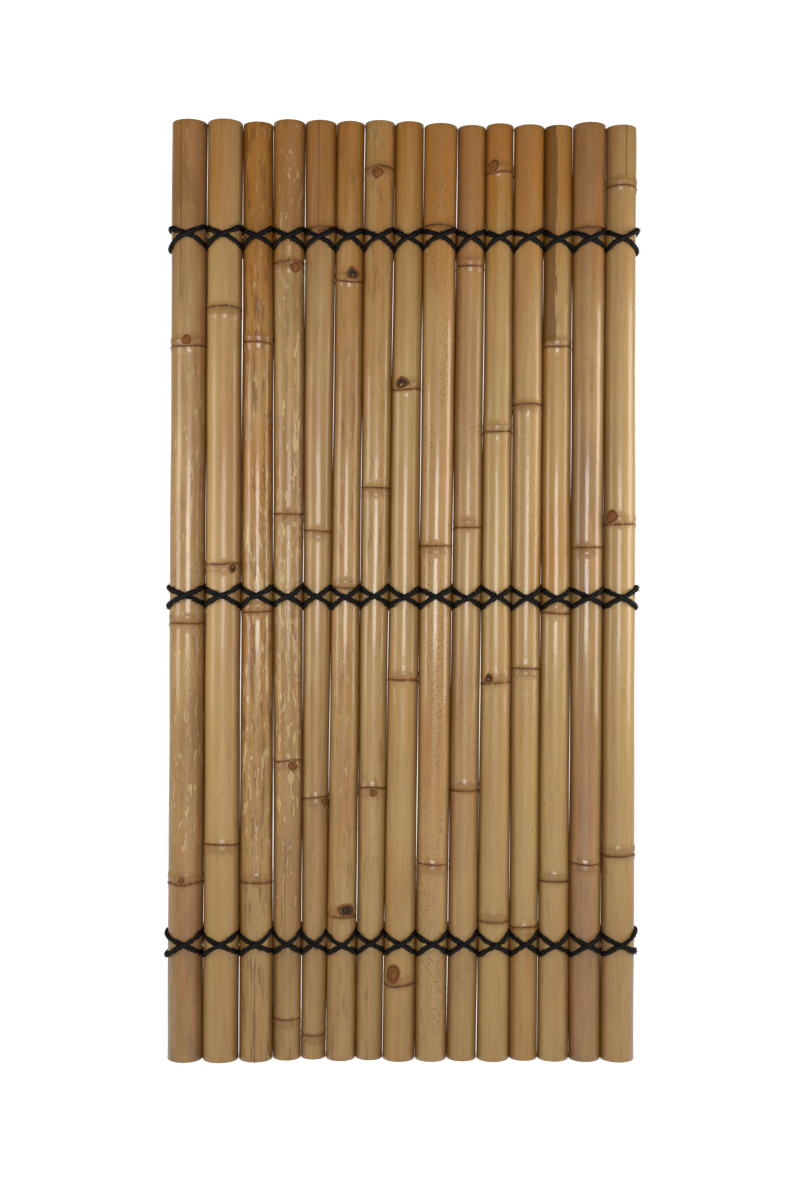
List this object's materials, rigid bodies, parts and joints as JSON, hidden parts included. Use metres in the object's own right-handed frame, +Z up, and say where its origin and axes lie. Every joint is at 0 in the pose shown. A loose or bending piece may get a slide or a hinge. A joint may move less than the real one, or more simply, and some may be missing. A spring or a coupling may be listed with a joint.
{
  "type": "bamboo fence panel",
  "caption": "Upright bamboo culms in a close row, tied to slim bamboo rails behind them by black cord that crosses on the front of each culm; screens a garden between posts.",
  "frame": {"origin": "on the ground, under the centre of the panel's box", "axes": "+Z up along the culms, +X to the right along the panel, front of the panel towards -Y"},
  "size_m": [0.9048, 0.1198, 1.8004],
  "materials": {
    "culm_bamboo": "varnished bamboo",
    "rail_bamboo": "weathered bamboo",
    "black_cord": "twisted palm-fibre cord"
  },
  "bodies": {
    "root": {"culm_01": "culm_bamboo", "culm_02": "culm_bamboo", "culm_03": "culm_bamboo", "culm_04": "culm_bamboo", "culm_05": "culm_bamboo", "culm_06": "culm_bamboo", "culm_07": "culm_bamboo", "culm_08": "culm_bamboo", "culm_09": "culm_bamboo", "culm_10": "culm_bamboo", "culm_11": "culm_bamboo", "culm_12": "culm_bamboo", "culm_13": "culm_bamboo", "culm_14": "culm_bamboo", "culm_15": "culm_bamboo", "rail_top": "rail_bamboo", "rail_middle": "rail_bamboo", "rail_bottom": "rail_bamboo", "lashing_top": "black_cord", "lashing_middle": "black_cord", "lashing_bottom": "black_cord"}
  },
  "joints": []
}
